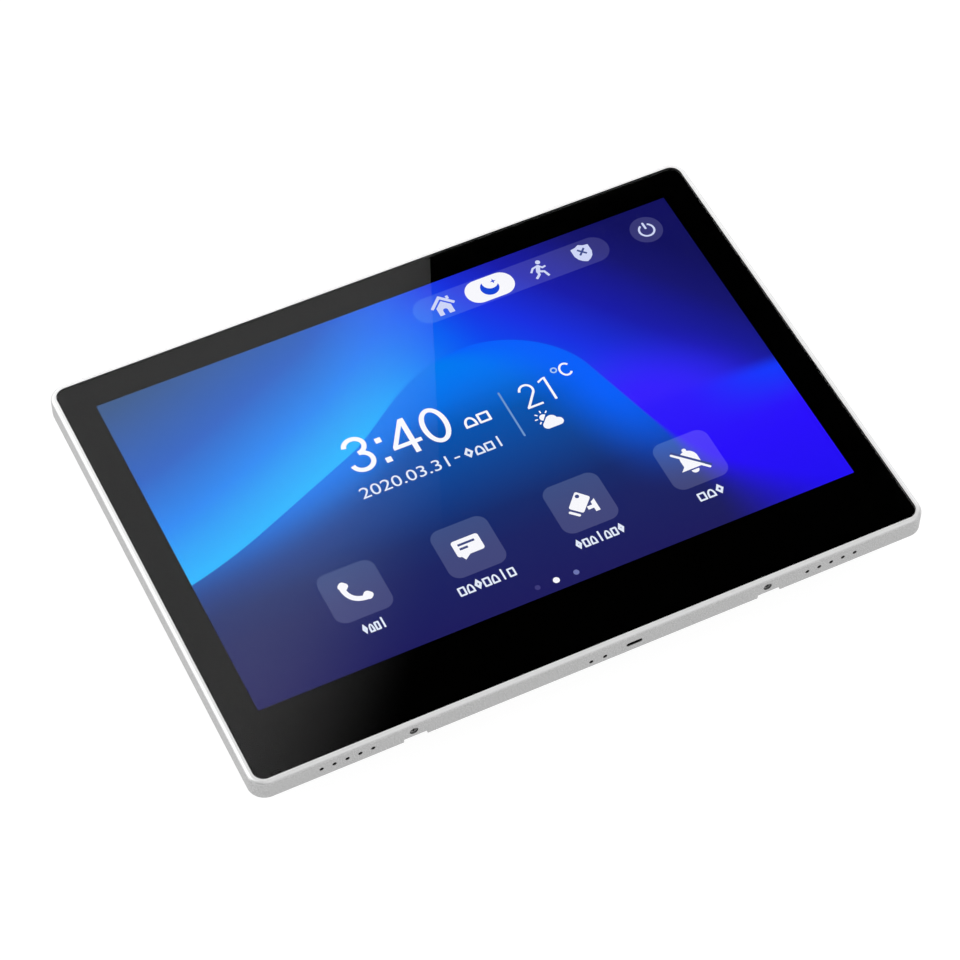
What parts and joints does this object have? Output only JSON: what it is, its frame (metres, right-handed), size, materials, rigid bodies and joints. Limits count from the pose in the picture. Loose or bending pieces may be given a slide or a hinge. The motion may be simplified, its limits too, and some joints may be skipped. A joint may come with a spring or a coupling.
{
  "type": "video intercom monitor",
  "caption": "Flat wall-mounted indoor video intercom with a wide touch screen, metal rim, side-firing loudspeakers and a rear box with wiring sockets.",
  "frame": {"origin": "middle of the footprint, on the plane of the rear face that goes against the wall", "axes": "+X to the right of the screen, +Y to the top of the screen, +Z out of the screen; the part lies on its back"},
  "size_m": [0.243, 0.1756, 0.022],
  "materials": {
    "anodised_aluminium": "fine bead-blasted, clear anodised",
    "cover_glass": "polished",
    "black_print": "opaque black ink behind glass",
    "foam_tape": "matt foam tape",
    "lcd_glass": "polarised panel",
    "optical_film": "clear and white film",
    "led_board": "white solder mask with yellow phosphor",
    "steel_sheet": "pressed tin-plated sheet",
    "zinc_screw": "zinc plated",
    "black_screw": "black oxide",
    "steel_screw": "plain stainless",
    "circuit_board": "green solder mask on glass-epoxy board",
    "chip_epoxy": "matt epoxy",
    "thermal_pad": "soft pad",
    "aluminium_can": "drawn can",
    "ivory_plastic": "moulded",
    "black_plastic": "moulded",
    "cover_plastic": "fine spark-eroded texture",
    "cell_steel": "nickel plated",
    "gold_contact": "gold flash",
    "tin_contact": "tin plated",
    "green_plastic": "moulded polyamide",
    "black_rubber": "soft silicone",
    "cable_jacket": "smooth jacket",
    "flex_film": "amber polyimide film"
  },
  "bodies": {
    "monitor": {"front_frame": "anodised_aluminium", "inner_frame": "black_plastic", "cover_glass": "cover_glass", "border_print": "black_print", "glass_tape": "foam_tape", "lcd_cell": "lcd_glass", "diffuser_sheet": "optical_film", "light_guide": "optical_film", "reflector_sheet": "optical_film", "led_strip": "led_board", "backlight_tray": "steel_sheet", "lcd_foam": "foam_tape", "chassis_plate": "steel_sheet", "chassis_screws": "zinc_screw", "main_board": "circuit_board", "processor": "chip_epoxy", "thermal_pad": "thermal_pad", "board_chips": "chip_epoxy", "capacitors": "aluminium_can", "coils": "chip_epoxy", "wifi_shield": "steel_sheet", "network_transformer": "chip_epoxy", "relay": "ivory_plastic", "coin_cell_holder": "black_plastic", "coin_cell": "cell_steel", "board_connectors": "ivory_plastic", "board_screws": "zinc_screw", "ethernet_jack": "steel_sheet", "ethernet_contacts": "gold_contact", "power_header": "green_plastic", "io_header": "green_plastic", "terminal_pins": "tin_contact", "io_board": "circuit_board", "io_board_screws": "zinc_screw", "microphone": "gold_contact", "microphone_boot": "black_rubber", "reset_switch": "chip_epoxy", "service_port": "steel_sheet", "service_port_tongue": "chip_epoxy", "speaker_left": "black_plastic", "speaker_right": "black_plastic", "speaker_gaskets": "foam_tape", "wifi_antenna": "gold_contact", "antenna_cable": "cable_jacket", "speaker_cables": "cable_jacket", "lcd_flex": "flex_film", "touch_flex": "flex_film", "io_flex": "flex_film", "connector_tray": "cover_plastic", "rear_cover": "cover_plastic", "rear_screws": "black_screw"},
    "left_lock": {"lock_screw_left": "steel_screw", "lock_clip_left": "zinc_screw"},
    "right_lock": {"lock_screw_right": "steel_screw", "lock_clip_right": "zinc_screw"},
    "reset_plunger": {"reset_button": "ivory_plastic"},
    "power_terminal": {"power_plug": "green_plastic", "power_plug_screws": "zinc_screw"},
    "io_terminal": {"io_plug": "green_plastic", "io_plug_screws": "zinc_screw"}
  },
  "joints": [
    {"name": "left_lock_slide", "type": "slide", "parent": "monitor", "child": "left_lock", "axis": [0, -1, 0], "range_m": [0, 0.003]},
    {"name": "right_lock_slide", "type": "slide", "parent": "monitor", "child": "right_lock", "axis": [0, -1, 0], "range_m": [0, 0.003]},
    {"name": "reset_press", "type": "slide", "parent": "monitor", "child": "reset_plunger", "axis": [0, 1, 0], "range_m": [0, 0.00025], "stiffness_N_per_m": 2000},
    {"name": "power_plug_slide", "type": "slide", "parent": "monitor", "child": "power_terminal", "axis": [0, -1, 0], "range_m": [0, 0.006]},
    {"name": "io_plug_slide", "type": "slide", "parent": "monitor", "child": "io_terminal", "axis": [0, -1, 0], "range_m": [0, 0.006]}
  ]
}
